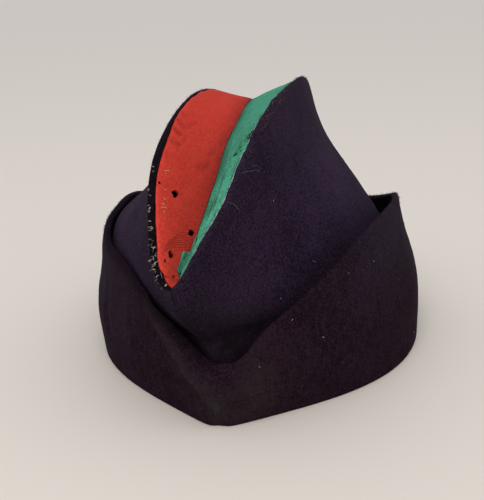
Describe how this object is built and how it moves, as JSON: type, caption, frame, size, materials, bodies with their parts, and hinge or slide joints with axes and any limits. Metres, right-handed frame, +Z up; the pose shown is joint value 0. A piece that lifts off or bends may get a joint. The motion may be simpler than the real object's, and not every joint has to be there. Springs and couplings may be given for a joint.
{
  "type": "side cap",
  "caption": "Felt side cap with a fore-and-aft crest, a folded two-colour crown gusset and a turned-up curtain that dips at the front; worn on the head.",
  "frame": {"origin": "middle of the cap's box, on the surface that its rim stands on", "axes": "+Z up, -Y the front where the curtain dips, +X the wearer's left"},
  "size_m": [0.1747, 0.2237, 0.1397],
  "materials": {
    "navy_felt": "worn matte wool felt, dusty at the front",
    "red_felt": "worn matte wool felt with moth holes",
    "green_felt": "worn matte wool felt with a moth hole"
  },
  "bodies": {
    "root": {"side_panel_left": "navy_felt", "side_panel_right": "navy_felt", "gusset_red": "red_felt", "gusset_green": "green_felt", "curtain": "navy_felt"}
  },
  "joints": []
}
